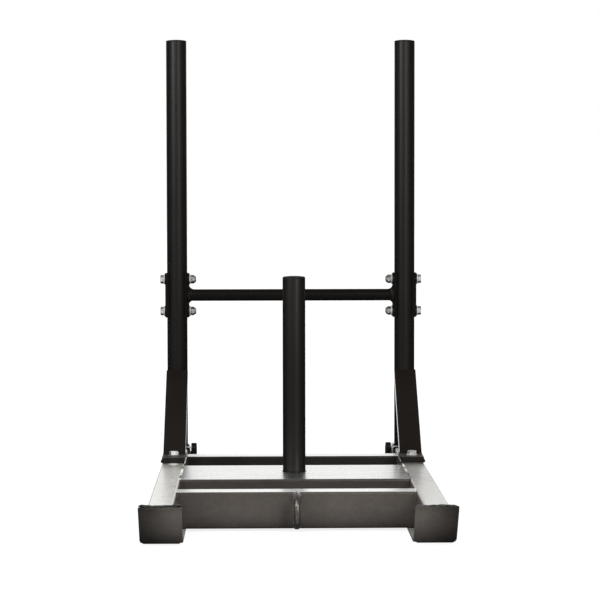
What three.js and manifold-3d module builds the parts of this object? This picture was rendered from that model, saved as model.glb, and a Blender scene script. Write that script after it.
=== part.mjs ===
// Push sled: a welded steel base on two skis, a post for weight plates, and a black handle frame
// whose shoes straddle the rails and are locked by a bolt in front and a star knob behind.
// Millimetres, +Z up, +X right, nose towards -Y. The origin is on the floor under the sled's middle.
import * as THREE from "three";
import { mergeVertices } from "three/addons/utils/BufferGeometryUtils.js";
import Module from "manifold-3d";

const wasm = await Module();
wasm.setup();

// Overall places, lengthwise distances measured back from the nose's front edge
const sledLength = 1080;
const sledHeight = 1058;
const railSpacing = 545;
const gap = 0.3;
const overrun = 6;

// Rails and crossmembers: the same rectangular tube
const railWidth = 50.8;
const railHeight = 76.2;
const railWall = 3;
const railCornerRadius = 4.5;
const frontCrossmemberSetback = 215;
const rearCrossmemberFromUpright = 176;

// Skis: a flat sole under each rail and a raked nose plate in front of it
const skiWidth = 86;
const soleThickness = 5;
const noseThickness = 6;
const noseLean = THREE.MathUtils.degToRad(38.5);
const skiCornerCut = 7;

// Deck between the crossmembers: a plate with its front and rear edges folded down
const deckDepth = 240;
const deckForwardOfMiddle = 6.9;
const deckThickness = 4;
const deckLipHeight = 50;
const deckBendRadius = 1;

// Weight post
const postBehindDeckMiddle = 13;
const postDiameter = 50;
const postWall = 4;
const postHeight = 513;

// Tow loop of round bar on the front crossmember
const towBarDiameter = 12.7;
const towLoopSpread = 60;
const towLegLength = 12;

// Uprights
const uprightFromTail = 92;
const uprightDiameter = 48.3;
const uprightWall = 3.2;

// Shoe at the foot of each upright, folded over the rail
const shoeThickness = 4;
const shoeLength = 60;
const shoeFlangeHeight = 46;
const shoeBendRadius = 6;

// Braces: rectangular tube, cut level at the foot and plumb at the upright, on a thick foot plate
const braceWidth = 50.8;
const braceThickness = 25.4;
const braceWall = 2.5;
const braceCornerRadius = 2.5;
const braceRise = THREE.MathUtils.degToRad(40.3);
const braceHeelFromUpright = 233;
const footFromUpright = 298;
const footWidth = 50.8;
const footLength = 115;
const footThickness = 12;
const footBoltFromUpright = 262;

// Crossbar and its clamps
const crossbarDiameter = 28;
const crossbarWall = 2.5;
const crossbarHeight = 449;
const clampThickness = 4.4;
const clampHeight = 106;
const clampWrap = THREE.MathUtils.degToRad(44);
const clampBossDiameter = 26;
const clampBossHeight = 0.6;
const clampBoltSpacing = 76.2;

// Fasteners
const boltDiameter = 12;
const boltHoleDiameter = 13;
const threadBoreDiameter = 12.8;
const hexAcrossFlats = 18;
const headHeight = 7.5;
const nutHeight = 12;
const washerDiameter = 24;
const washerThickness = 2.5;
const threadBeyondNut = 1;

// Lock knobs on the shoes' inner flanges
const lockNutClearance = 1.5;
const knobDiameter = 50;
const knobLobeDepth = 4;
const knobThickness = 13;
const knobEdgeRadius = 1.5;
const knobBoreDepth = 9.5;
const knobStandOff = 2.5;
const knobLobes = 6;

// Plugs in open tube ends
const plugLip = 3;
const plugDome = 3;
const plugSkirt = 16;
const plugWall = 2.5;
const plugClearance = 0.4;

// Facets
const cornerSteps = 4;
const clampSteps = 10;
const domeSteps = 3;
const roundSteps = 36;
const boltSteps = 16;
const hexSides = 6;
const washerSteps = 18;
const towSteps = 26;
const towSides = 8;
const lobeSteps = 6;
const knobEdgeSteps = 2;

// Derived places
const railX = railSpacing / 2;
const railTop = soleThickness + gap + railHeight;
const railMiddleHeight = railTop - railHeight / 2;
const clearWidth = railSpacing - railWidth - 2 * gap;
const lockAxisHeight = railTop - railWall - hexAcrossFlats / 2 - lockNutClearance;
const uprightSetback = sledLength - uprightFromTail;
const rearCrossmemberSetback = uprightSetback - rearCrossmemberFromUpright;
const braceHeelSetback = uprightSetback - braceHeelFromUpright;
const footSetback = uprightSetback - footFromUpright;
const footBoltSetback = uprightSetback - footBoltFromUpright;
const bayMiddle = (frontCrossmemberSetback + railWidth + rearCrossmemberSetback) / 2;
const deckMiddle = bayMiddle - deckForwardOfMiddle;
const deckSetback = deckMiddle - deckDepth / 2;
const postSetback = deckMiddle + postBehindDeckMiddle;
const fromNose = (setback) => setback - sledLength / 2;
const axisX = new THREE.Vector3(1, 0, 0);
const axisY = new THREE.Vector3(0, 1, 0);
const axisZ = new THREE.Vector3(0, 0, 1);

const baseSteel = { color: 0x8a8680, roughness: 0.42, metalness: 0.9 };
const blackCoat = { color: 0x1f1f1d, roughness: 0.5, metalness: 0.15 };
const zinc = { color: 0xc9c9c4, roughness: 0.3, metalness: 1 };
const blackPlastic = { color: 0x161616, roughness: 0.6, metalness: 0 };

// Helpers between three.js geometry and the solids that are joined and cut
function solidOf(geometry) {
  const bare = geometry.clone();
  bare.deleteAttribute("normal");
  bare.deleteAttribute("uv");
  const merged = mergeVertices(bare);
  return new wasm.Manifold(
    new wasm.Mesh({
      numProp: 3,
      vertProperties: merged.attributes.position.array,
      triVerts: new Uint32Array(merged.index.array),
    }),
  );
}

function geometryOf(solid) {
  const mesh = solid.getMesh();
  const geometry = new THREE.BufferGeometry();
  geometry.setAttribute("position", new THREE.BufferAttribute(new Float32Array(mesh.vertProperties), 3));
  geometry.setIndex(new THREE.BufferAttribute(new Uint32Array(mesh.triVerts), 1));
  const faceted = geometry.toNonIndexed();
  faceted.computeVertexNormals();
  return faceted;
}

function cut(geometry, ...tools) {
  return geometryOf(tools.reduce((solid, tool) => solid.subtract(solidOf(tool)), solidOf(geometry)));
}

function join(geometry, ...others) {
  return geometryOf(others.reduce((solid, other) => solid.add(solidOf(other)), solidOf(geometry)));
}

function common(geometry, other) {
  return geometryOf(solidOf(geometry).intersect(solidOf(other)));
}

// Mirror image across X = 0, with each triangle turned round so that it still faces outwards
function mirrored(geometry) {
  const image = (geometry.index ? geometry.toNonIndexed() : geometry.clone()).scale(-1, 1, 1);
  const position = image.attributes.position;
  const kept = new THREE.Vector3();
  const swapped = new THREE.Vector3();
  for (let corner = 0; corner < position.count; corner += 3) {
    kept.fromBufferAttribute(position, corner + 1);
    swapped.fromBufferAttribute(position, corner + 2);
    position.setXYZ(corner + 1, swapped.x, swapped.y, swapped.z);
    position.setXYZ(corner + 2, kept.x, kept.y, kept.z);
  }
  image.computeVertexNormals();
  return image;
}

// Sections drawn in the plane across the run, then run along one axis about its middle
function extrude(shape, length, across, up, along, curveSegments = cornerSteps) {
  const geometry = new THREE.ExtrudeGeometry(shape, {
    depth: length,
    bevelEnabled: false,
    curveSegments,
  });
  geometry.translate(0, 0, -length / 2);
  geometry.applyMatrix4(new THREE.Matrix4().makeBasis(across, up, along));
  return geometry;
}

// The section is drawn as (Y, Z)
const extrudeAlongX = (shape, length) => extrude(shape, length, axisY, axisZ, axisX);
// The section is drawn as (X, Z)
const extrudeAlongY = (shape, length) => extrude(shape, length, axisX, axisZ, axisY.clone().negate());
// The section is drawn as (X, Y)
const extrudeAlongZ = (shape, length) => extrude(shape, length, axisX, axisY, axisZ);

function roundedRectangle(width, height, radius) {
  const x = width / 2 - radius;
  const y = height / 2 - radius;
  const shape = new THREE.Shape();
  const quarter = Math.PI / 2;
  shape.absarc(x, -y, radius, -quarter, 0);
  shape.absarc(x, y, radius, 0, quarter);
  shape.absarc(-x, y, radius, quarter, 2 * quarter);
  shape.absarc(-x, -y, radius, 2 * quarter, 3 * quarter);
  shape.closePath();
  return shape;
}

function rectangularTube(width, height, wall, radius) {
  const shape = roundedRectangle(width, height, radius);
  shape.holes.push(roundedRectangle(width - 2 * wall, height - 2 * wall, Math.max(radius - wall, wall / 2)));
  return shape;
}

function polygon(points) {
  return new THREE.Shape(points.map(([x, y]) => new THREE.Vector2(x, y)));
}

// A round bar or drill along an axis, centred
function rod(diameter, length, axis, steps = boltSteps) {
  const geometry = new THREE.CylinderGeometry(diameter / 2, diameter / 2, length, steps);
  geometry.applyQuaternion(new THREE.Quaternion().setFromUnitVectors(axisY, axis));
  return geometry;
}

function roundTube(diameter, wall, length, axis) {
  return cut(
    rod(diameter, length, axis, roundSteps),
    rod(diameter - 2 * wall, length + 2 * overrun, axis, roundSteps),
  );
}

function moved(geometry, x, y, z) {
  return geometry.clone().translate(x, y, z);
}

// Fasteners stand on z = 0, their thread running down
function hexPrism(height) {
  const geometry = rod((2 * hexAcrossFlats) / Math.sqrt(3), height, axisZ, hexSides);
  return moved(geometry, 0, 0, height / 2);
}

function hexBolt(length) {
  const embedded = headHeight / 2;
  const shank = rod(boltDiameter, length + embedded, axisZ);
  return join(hexPrism(headHeight), moved(shank, 0, 0, (embedded - length) / 2));
}

function hexNut() {
  return cut(hexPrism(nutHeight), rod(threadBoreDiameter, 2 * nutHeight + overrun, axisZ));
}

function washer() {
  const disc = rod(washerDiameter, washerThickness, axisZ, washerSteps);
  return cut(disc, rod(boltHoleDiameter, washerThickness + overrun, axisZ));
}

// Domed plug for a round tube: it stands on the tube's end at z = 0
function roundPlug(diameter, wall) {
  const lipRadius = diameter / 2;
  const skirtRadius = lipRadius - wall - plugClearance;
  const profile = [
    [0, gap],
    [skirtRadius - plugWall, gap],
    [skirtRadius - plugWall, -plugSkirt],
    [skirtRadius, -plugSkirt],
    [skirtRadius, gap],
    [lipRadius, gap],
    [lipRadius, plugLip],
  ];
  for (let step = 1; step < domeSteps; step += 1) {
    const angle = (step / domeSteps) * (Math.PI / 2);
    profile.push([lipRadius * Math.cos(angle), plugLip + plugDome * Math.sin(angle)]);
  }
  profile.push([0, plugLip + plugDome]);
  const points = profile.map(([radius, height]) => new THREE.Vector2(radius, height));
  return new THREE.LatheGeometry(points, roundSteps).rotateX(Math.PI / 2);
}

// The raked line of the nose plate's back face, a distance behind the plate, as a setback at a height
const noseFrontTop = railTop - noseThickness * Math.sin(noseLean);
function noseSetback(height, behindFront) {
  return (noseFrontTop - height) * Math.tan(noseLean) + behindFront / Math.cos(noseLean);
}

// Everything in front of the nose plate's back face, to trim what butts against it
function noseTrim(width) {
  const low = -overrun;
  const high = railTop + overrun;
  const behind = noseThickness + gap;
  const front = fromNose(0) - high;
  const outline = polygon([
    [front, low],
    [fromNose(noseSetback(low, behind)), low],
    [fromNose(noseSetback(high, behind)), high],
    [front, high],
  ]);
  return extrudeAlongX(outline, width + 2 * overrun);
}

// Side pieces are drawn on the right-hand side, at their real places, about the rail's middle in X
function rail() {
  const length = sledLength - plugLip - gap;
  const tube = extrudeAlongY(rectangularTube(railWidth, railHeight, railWall, railCornerRadius), length);
  tube.translate(0, fromNose(length / 2), railMiddleHeight);
  const boltHole = moved(rod(boltHoleDiameter, railHeight, axisZ), 0, fromNose(footBoltSetback), railTop);
  const lockHole = moved(rod(boltHoleDiameter, railWidth, axisX), -railWidth / 2, fromNose(uprightSetback), lockAxisHeight);
  return cut(tube, noseTrim(railWidth), boltHole, lockHole);
}

function sole() {
  const plate = new THREE.BoxGeometry(skiWidth, sledLength, soleThickness);
  plate.translate(0, 0, soleThickness / 2);
  const corners = [-1, 1].map((side) => {
    const edge = (side * skiWidth) / 2;
    const front = fromNose(noseSetback(0, noseThickness + gap));
    const outside = edge + side * overrun;
    const outline = polygon([
      [edge - side * (skiCornerCut + overrun), front - overrun],
      [edge + side * overrun, front + skiCornerCut + overrun],
      [outside, front - overrun],
    ]);
    return extrudeAlongZ(outline, 2 * soleThickness + overrun);
  });
  return cut(plate, noseTrim(skiWidth), ...corners);
}

function nosePlate() {
  const topBack = noseThickness * Math.cos(noseLean);
  const side = polygon([
    [fromNose(noseSetback(0, 0)), 0],
    [fromNose(noseSetback(0, noseThickness)), 0],
    [fromNose(topBack), railTop],
    [fromNose(0), noseFrontTop],
  ]);
  const plate = extrudeAlongX(side, skiWidth);
  const corners = [-1, 1].map((hand) => {
    const edge = (hand * skiWidth) / 2;
    const outline = polygon([
      [edge - hand * (skiCornerCut + overrun), -overrun],
      [edge + hand * overrun, skiCornerCut + overrun],
      [edge + hand * overrun, -overrun],
    ]);
    const tool = extrudeAlongY(outline, sledLength / 2);
    return moved(tool, 0, fromNose(0), 0);
  });
  return cut(plate, ...corners);
}

function railPlug() {
  const radius = railCornerRadius;
  const lip = extrudeAlongY(roundedRectangle(railWidth, railHeight, radius), plugLip);
  const skirtWidth = railWidth - 2 * (railWall + plugClearance);
  const skirtHeight = railHeight - 2 * (railWall + plugClearance);
  const skirtLength = plugSkirt + plugLip / 2;
  const skirt = extrudeAlongY(rectangularTube(skirtWidth, skirtHeight, plugWall, radius - railWall / 2), skirtLength);
  const plug = join(lip, moved(skirt, 0, -skirtLength / 2, 0));
  return moved(plug, 0, sledLength / 2 - plugLip / 2, railMiddleHeight);
}

function crossmember(setback) {
  const tube = extrudeAlongX(rectangularTube(railWidth, railHeight, railWall, railCornerRadius), clearWidth);
  return moved(tube, 0, fromNose(setback) + railWidth / 2, railMiddleHeight);
}

function deck() {
  const front = fromNose(deckSetback);
  const rear = front + deckDepth;
  const inner = deckBendRadius;
  const outer = deckBendRadius + deckThickness;
  const bend = railTop - outer;
  const foot = railTop - deckLipHeight;
  const quarter = Math.PI / 2;
  const shape = new THREE.Shape();
  shape.moveTo(front, foot);
  shape.absarc(front + outer, bend, outer, 2 * quarter, quarter, true);
  shape.absarc(rear - outer, bend, outer, quarter, 0, true);
  shape.lineTo(rear, foot);
  shape.lineTo(rear - deckThickness, foot);
  shape.absarc(rear - outer, bend, inner, 0, quarter, false);
  shape.absarc(front + outer, bend, inner, quarter, 2 * quarter, false);
  shape.lineTo(front + deckThickness, foot);
  shape.closePath();
  return extrudeAlongX(shape, clearWidth);
}

function weightPost() {
  const base = railTop + gap;
  const length = postHeight - plugLip - plugDome - base;
  const tube = roundTube(postDiameter, postWall, length, axisZ);
  return moved(tube, 0, fromNose(postSetback), base + length / 2);
}

function postCap() {
  return moved(roundPlug(postDiameter, postWall), 0, fromNose(postSetback), postHeight - plugLip - plugDome);
}

// Round bar bent to a U: two legs out of the crossmember's face and a half circle between them
function towLoop() {
  const face = fromNose(frontCrossmemberSetback) - gap;
  const radius = towLoopSpread / 2;
  const points = [new THREE.Vector3(0, face, railMiddleHeight + radius)];
  const quarterSteps = 6;
  for (let step = -quarterSteps; step <= quarterSteps; step += 1) {
    const angle = (step / quarterSteps) * (Math.PI / 2);
    points.push(
      new THREE.Vector3(
        0,
        face - towLegLength - radius * Math.cos(angle),
        railMiddleHeight - radius * Math.sin(angle),
      ),
    );
  }
  points.push(new THREE.Vector3(0, face, railMiddleHeight - radius));
  const section = new THREE.Shape().absarc(0, 0, towBarDiameter / 2, 0, 2 * Math.PI);
  return new THREE.ExtrudeGeometry(section, {
    extrudePath: new THREE.CatmullRomCurve3(points),
    steps: towSteps,
    curveSegments: towSides,
    bevelEnabled: false,
  });
}

const shoeTop = railTop + gap + shoeThickness;
const shoeHalfWidth = railWidth / 2 + gap + shoeThickness;

// Plate folded over the rail: outer and inner bends share their centres
function shoe() {
  const top = shoeTop;
  const foot = shoeTop - shoeFlangeHeight;
  const quarter = Math.PI / 2;
  const bendX = shoeHalfWidth - shoeBendRadius;
  const bendZ = top - shoeBendRadius;
  const inner = shoeBendRadius - shoeThickness;
  const shape = new THREE.Shape();
  shape.moveTo(-shoeHalfWidth, foot);
  shape.absarc(-bendX, bendZ, shoeBendRadius, 2 * quarter, quarter, true);
  shape.absarc(bendX, bendZ, shoeBendRadius, quarter, 0, true);
  shape.lineTo(shoeHalfWidth, foot);
  shape.lineTo(shoeHalfWidth - shoeThickness, foot);
  shape.absarc(bendX, bendZ, inner, 0, quarter, false);
  shape.absarc(-bendX, bendZ, inner, quarter, 2 * quarter, false);
  shape.lineTo(-shoeHalfWidth + shoeThickness, foot);
  shape.closePath();
  const channel = moved(extrudeAlongY(shape, shoeLength), 0, fromNose(uprightSetback), 0);
  const lockHole = moved(
    rod(boltHoleDiameter, railWidth, axisX),
    -shoeHalfWidth,
    fromNose(uprightSetback),
    lockAxisHeight,
  );
  return cut(channel, lockHole);
}

const uprightBase = shoeTop + gap;
const clampBoltHeights = [-1, 1].map((side) => crossbarHeight + (side * clampBoltSpacing) / 2);

function upright() {
  const length = sledHeight - plugLip - plugDome - uprightBase;
  const tube = moved(
    roundTube(uprightDiameter, uprightWall, length, axisZ),
    0,
    fromNose(uprightSetback),
    uprightBase + length / 2,
  );
  const holes = clampBoltHeights.map((height) =>
    moved(rod(boltHoleDiameter, uprightDiameter + 2 * overrun, axisX), 0, fromNose(uprightSetback), height),
  );
  return cut(tube, ...holes);
}

function uprightCap() {
  const base = sledHeight - plugLip - plugDome;
  return moved(roundPlug(uprightDiameter, uprightWall), 0, fromNose(uprightSetback), base);
}

const footBase = railTop + gap;
const footTop = footBase + footThickness;

function footPlate() {
  const plate = new THREE.BoxGeometry(footWidth, footLength, footThickness);
  const y = fromNose(footSetback) + footLength / 2;
  plate.translate(0, y, footBase + footThickness / 2);
  return cut(plate, moved(rod(boltHoleDiameter, railHeight, axisZ), 0, fromNose(footBoltSetback), footBase));
}

// Its upper face leaves the foot plate at the heel and reaches the upright's front
function brace() {
  const heel = fromNose(braceHeelSetback);
  const end = fromNose(uprightSetback) - uprightDiameter / 2 - gap;
  const run = end - heel;
  const rise = run * Math.tan(braceRise);
  const length = run / Math.cos(braceRise) + 4 * braceThickness;
  const faceNormal = new THREE.Vector3(0, -Math.sin(braceRise), Math.cos(braceRise));
  const downhill = new THREE.Vector3(0, -Math.cos(braceRise), -Math.sin(braceRise));
  const section = rectangularTube(braceWidth, braceThickness, braceWall, braceCornerRadius);
  const tube = extrude(section, length, axisX, faceNormal, downhill);
  const middle = new THREE.Vector3(0, heel + run / 2, footTop + gap + rise / 2);
  middle.addScaledVector(faceNormal, -braceThickness / 2);
  tube.translate(middle.x, middle.y, middle.z);
  const keptOutline = polygon([
    [heel - length, footTop + gap],
    [end, footTop + gap],
    [end, footTop + length],
    [heel - length, footTop + length],
  ]);
  return common(tube, extrudeAlongX(keptOutline, braceWidth + 2 * overrun));
}

// Foot bolt through washer, foot plate and rail wall into a nut welded inside the rail
const footWasherBase = footTop + gap;
const footHeadBase = footWasherBase + washerThickness + gap;
const footNutTop = railTop - railWall - gap;

function footBolt() {
  const length = footHeadBase - footNutTop + nutHeight + threadBeyondNut;
  return moved(hexBolt(length), 0, fromNose(footBoltSetback), footHeadBase);
}

function footWasher() {
  return moved(washer(), 0, fromNose(footBoltSetback), footWasherBase + washerThickness / 2);
}

function footNut() {
  return moved(hexNut(), 0, fromNose(footBoltSetback), footNutTop - nutHeight);
}

// Clamp half: an arc of plate round the upright with a flat boss at each bolt
const clampInnerRadius = uprightDiameter / 2 + gap;
const clampOuterRadius = clampInnerRadius + clampThickness;
const clampFace = clampOuterRadius + clampBossHeight;

function clampHalf() {
  const shape = new THREE.Shape();
  shape.absarc(0, 0, clampOuterRadius, -clampWrap, clampWrap, false);
  shape.absarc(0, 0, clampInnerRadius, clampWrap, -clampWrap, true);
  shape.closePath();
  const arc = moved(extrude(shape, clampHeight, axisX, axisY, axisZ, clampSteps), 0, 0, crossbarHeight);
  const bossLength = clampThickness + clampBossHeight;
  const bosses = clampBoltHeights.map((height) =>
    moved(rod(clampBossDiameter, bossLength, axisX), clampFace - bossLength / 2, 0, height),
  );
  const holes = clampBoltHeights.map((height) =>
    moved(rod(boltHoleDiameter, 2 * clampFace, axisX), clampFace, 0, height),
  );
  const bored = rod(2 * clampInnerRadius, clampHeight + 2 * overrun, axisZ, roundSteps);
  return cut(join(arc, ...bosses), moved(bored, 0, 0, crossbarHeight), ...holes);
}

function clampOuter() {
  return moved(clampHalf(), 0, fromNose(uprightSetback), 0);
}

function clampInner() {
  return moved(clampHalf().rotateZ(Math.PI), 0, fromNose(uprightSetback), 0);
}

// Clamp fasteners lie along X: heads outside, nuts inside
const clampWasherOffset = clampFace + gap;
const clampHeadOffset = clampWasherOffset + washerThickness + gap;

function turnedOutwards(geometry) {
  return geometry.clone().rotateY(Math.PI / 2);
}

function turnedInwards(geometry) {
  return geometry.clone().rotateY(-Math.PI / 2);
}

function clampBolt(height) {
  const length = 2 * clampHeadOffset + nutHeight + threadBeyondNut;
  return moved(turnedOutwards(hexBolt(length)), clampHeadOffset, fromNose(uprightSetback), height);
}

function clampNut(height) {
  return moved(turnedInwards(hexNut()), -clampHeadOffset, fromNose(uprightSetback), height);
}

function clampWasher(height, side) {
  const offset = side * (clampWasherOffset + washerThickness / 2);
  return moved(turnedOutwards(washer()), offset, fromNose(uprightSetback), height);
}

// Crossbar coped at both ends to the clamps' round backs
function crossbar() {
  const tube = roundTube(crossbarDiameter, crossbarWall, railSpacing - 2 * clampInnerRadius, axisX);
  const copes = [-1, 1].map((side) =>
    moved(rod(2 * (clampOuterRadius + gap), 2 * crossbarDiameter, axisZ, roundSteps), side * railX, 0, 0),
  );
  return moved(cut(tube, ...copes), 0, fromNose(uprightSetback), crossbarHeight);
}

// Lock: star knob, its stud and a nut welded inside the rail's inner wall
const knobFace = shoeHalfWidth + knobStandOff;
const lockNutFace = railWidth / 2 - railWall - gap;

function lockKnob() {
  const meanRadius = (knobDiameter - knobLobeDepth) / 2 - knobEdgeRadius;
  const outline = [];
  for (let step = 0; step < knobLobes * lobeSteps; step += 1) {
    const angle = (step / (knobLobes * lobeSteps)) * 2 * Math.PI;
    const radius = meanRadius + (knobLobeDepth / 2) * Math.cos(knobLobes * angle);
    outline.push([radius * Math.sin(angle), radius * Math.cos(angle)]);
  }
  const body = new THREE.ExtrudeGeometry(polygon(outline), {
    depth: knobThickness - 2 * knobEdgeRadius,
    bevelThickness: knobEdgeRadius,
    bevelSize: knobEdgeRadius,
    bevelSegments: knobEdgeSteps,
  });
  body.translate(0, 0, knobEdgeRadius);
  body.applyMatrix4(new THREE.Matrix4().makeBasis(axisY, axisZ, axisX));
  body.translate(-knobFace - knobThickness, 0, 0);
  const bore = rod(boltDiameter + 2 * gap, 2 * knobBoreDepth, axisX);
  return moved(cut(body, moved(bore, -knobFace, 0, 0)), 0, fromNose(uprightSetback), lockAxisHeight);
}

function lockStud() {
  const inboard = -knobFace - knobBoreDepth + gap;
  const outboard = -lockNutFace + nutHeight + threadBeyondNut;
  const stud = rod(boltDiameter, outboard - inboard, axisX);
  return moved(stud, (outboard + inboard) / 2, fromNose(uprightSetback), lockAxisHeight);
}

function lockNut() {
  return moved(turnedOutwards(hexNut()), -lockNutFace, fromNose(uprightSetback), lockAxisHeight);
}

// Assembly
const sled = new THREE.Group();

function addPiece(parent, name, geometry, finish) {
  const mesh = new THREE.Mesh(geometry, new THREE.MeshStandardMaterial(finish));
  mesh.name = name;
  parent.add(mesh);
}

addPiece(sled, "front_crossmember", crossmember(frontCrossmemberSetback), baseSteel);
addPiece(sled, "rear_crossmember", crossmember(rearCrossmemberSetback), baseSteel);
addPiece(sled, "deck", deck(), baseSteel);
addPiece(sled, "tow_loop", towLoop(), baseSteel);
addPiece(sled, "weight_post", weightPost(), blackCoat);
addPiece(sled, "post_cap", postCap(), blackPlastic);
addPiece(sled, "crossbar", crossbar(), blackCoat);

const [lowerBolt, upperBolt] = clampBoltHeights;
const sidePieces = [
  ["rail", rail(), baseSteel],
  ["sole", sole(), baseSteel],
  ["nose_plate", nosePlate(), baseSteel],
  ["rail_plug", railPlug(), blackPlastic],
  ["shoe", shoe(), blackCoat],
  ["upright", upright(), blackCoat],
  ["upright_cap", uprightCap(), blackPlastic],
  ["foot_plate", footPlate(), blackCoat],
  ["brace", brace(), blackCoat],
  ["foot_bolt", footBolt(), zinc],
  ["foot_washer", footWasher(), zinc],
  ["foot_nut", footNut(), zinc],
  ["clamp_outer", clampOuter(), blackCoat],
  ["clamp_inner", clampInner(), blackCoat],
  ["clamp_bolt_lower", clampBolt(lowerBolt), zinc],
  ["clamp_bolt_upper", clampBolt(upperBolt), zinc],
  ["clamp_nut_lower", clampNut(lowerBolt), zinc],
  ["clamp_nut_upper", clampNut(upperBolt), zinc],
  ["clamp_washer_outer_lower", clampWasher(lowerBolt, 1), zinc],
  ["clamp_washer_outer_upper", clampWasher(upperBolt, 1), zinc],
  ["clamp_washer_inner_lower", clampWasher(lowerBolt, -1), zinc],
  ["clamp_washer_inner_upper", clampWasher(upperBolt, -1), zinc],
  ["lock_knob", lockKnob(), blackPlastic],
  ["lock_stud", lockStud(), zinc],
  ["lock_nut", lockNut(), zinc],
];

// The left side is the right side's mirror image
for (const [name, geometry, finish] of sidePieces) {
  const right = moved(geometry, railX, 0, 0);
  addPiece(sled, `${name}_right`, right, finish);
  addPiece(sled, `${name}_left`, mirrored(right), finish);
}

export default sled;
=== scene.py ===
import math
import random

import bmesh
import bpy
from mathutils import Matrix, Vector


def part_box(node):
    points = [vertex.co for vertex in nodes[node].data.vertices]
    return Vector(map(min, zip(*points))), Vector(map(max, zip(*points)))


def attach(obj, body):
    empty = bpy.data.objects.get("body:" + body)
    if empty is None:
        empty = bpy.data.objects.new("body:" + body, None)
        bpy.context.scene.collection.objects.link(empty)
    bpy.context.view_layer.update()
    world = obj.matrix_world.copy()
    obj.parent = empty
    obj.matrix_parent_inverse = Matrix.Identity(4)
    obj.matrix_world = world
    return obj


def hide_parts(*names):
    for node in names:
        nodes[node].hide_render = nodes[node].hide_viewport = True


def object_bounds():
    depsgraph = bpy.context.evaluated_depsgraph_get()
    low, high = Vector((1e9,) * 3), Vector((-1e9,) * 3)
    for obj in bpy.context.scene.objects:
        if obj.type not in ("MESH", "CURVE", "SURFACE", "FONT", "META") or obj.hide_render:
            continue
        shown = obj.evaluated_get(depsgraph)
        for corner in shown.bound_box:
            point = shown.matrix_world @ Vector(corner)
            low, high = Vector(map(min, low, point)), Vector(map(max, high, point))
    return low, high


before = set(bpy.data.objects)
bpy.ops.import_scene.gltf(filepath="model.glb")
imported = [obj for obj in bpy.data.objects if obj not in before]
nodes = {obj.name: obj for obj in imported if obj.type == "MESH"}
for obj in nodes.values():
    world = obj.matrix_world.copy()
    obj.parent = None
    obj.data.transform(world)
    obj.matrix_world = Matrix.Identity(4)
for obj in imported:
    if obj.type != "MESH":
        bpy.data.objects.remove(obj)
cad_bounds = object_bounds()
scene = bpy.context.scene

# Places read from the CAD model, in metres
SIDES = (("right", 1.0), ("left", -1.0))
RAIL_LOW, RAIL_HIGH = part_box("rail_right")
RAIL_X = (RAIL_LOW.x + RAIL_HIGH.x) / 2
RAIL_HALF = (RAIL_HIGH.x - RAIL_LOW.x) / 2
RAIL_TOP = RAIL_HIGH.z
RAIL_INNER_X = RAIL_X - RAIL_HALF
FRONT_LOW, FRONT_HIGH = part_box("front_crossmember")
REAR_LOW, REAR_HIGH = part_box("rear_crossmember")
DECK_LOW, DECK_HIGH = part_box("deck")
POST_LOW, POST_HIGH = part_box("weight_post")
UPRIGHT_LOW, UPRIGHT_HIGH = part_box("upright_right")
UPRIGHT_Y = (UPRIGHT_LOW.y + UPRIGHT_HIGH.y) / 2
UPRIGHT_R = (UPRIGHT_HIGH.y - UPRIGHT_LOW.y) / 2
CROSSBAR_LOW, CROSSBAR_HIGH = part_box("crossbar")
CROSSBAR_Z = (CROSSBAR_LOW.z + CROSSBAR_HIGH.z) / 2
CROSSBAR_R = (CROSSBAR_HIGH.z - CROSSBAR_LOW.z) / 2
FOOT_LOW, FOOT_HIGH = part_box("foot_plate_right")
BRACE_LOW, BRACE_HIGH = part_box("brace_right")
_, SHOE_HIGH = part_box("shoe_right")
LOOP_LOW, LOOP_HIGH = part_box("tow_loop")
LOOP_R = (LOOP_HIGH.x - LOOP_LOW.x) / 2
NOSE_LOW, NOSE_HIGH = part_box("nose_plate_right")
CLAMP_LOW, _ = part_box("clamp_inner_right")
HEAD_LOW, HEAD_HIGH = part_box("foot_bolt_right")
HEX_ACROSS = min(HEAD_HIGH.x - HEAD_LOW.x, HEAD_HIGH.y - HEAD_LOW.y)
NUT_LOW, NUT_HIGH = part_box("clamp_nut_upper_right")
NUT_LENGTH = NUT_HIGH.x - NUT_LOW.x

# Sizes and angles of the CAD model that no box shows
BRACE_RISE = math.radians(40.3)
BRACE_THICK = 0.0254
NOSE_LEAN = math.radians(38.5)
NOSE_THICK = 0.006
HEAD_HEIGHT = 0.0075
THREAD_R = 0.006
PITCH = 0.00175

# The photograph's camera, fitted to the outlines in it
PHOTO_WIDTH_PX = 600.0
FOCAL_PX = 2200.0
SENSOR_WIDTH_MM = 36.0
CAMERA_PITCH = math.radians(2.990)
CAMERA_YAW = math.radians(1.090)
CAMERA_ROLL = math.radians(-0.090)
CAMERA_X = -0.0785
CAMERA_BEFORE_NOSE = 4.2850
CAMERA_HEIGHT = 0.7120
CAMERA_REACH = 60.0


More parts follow.
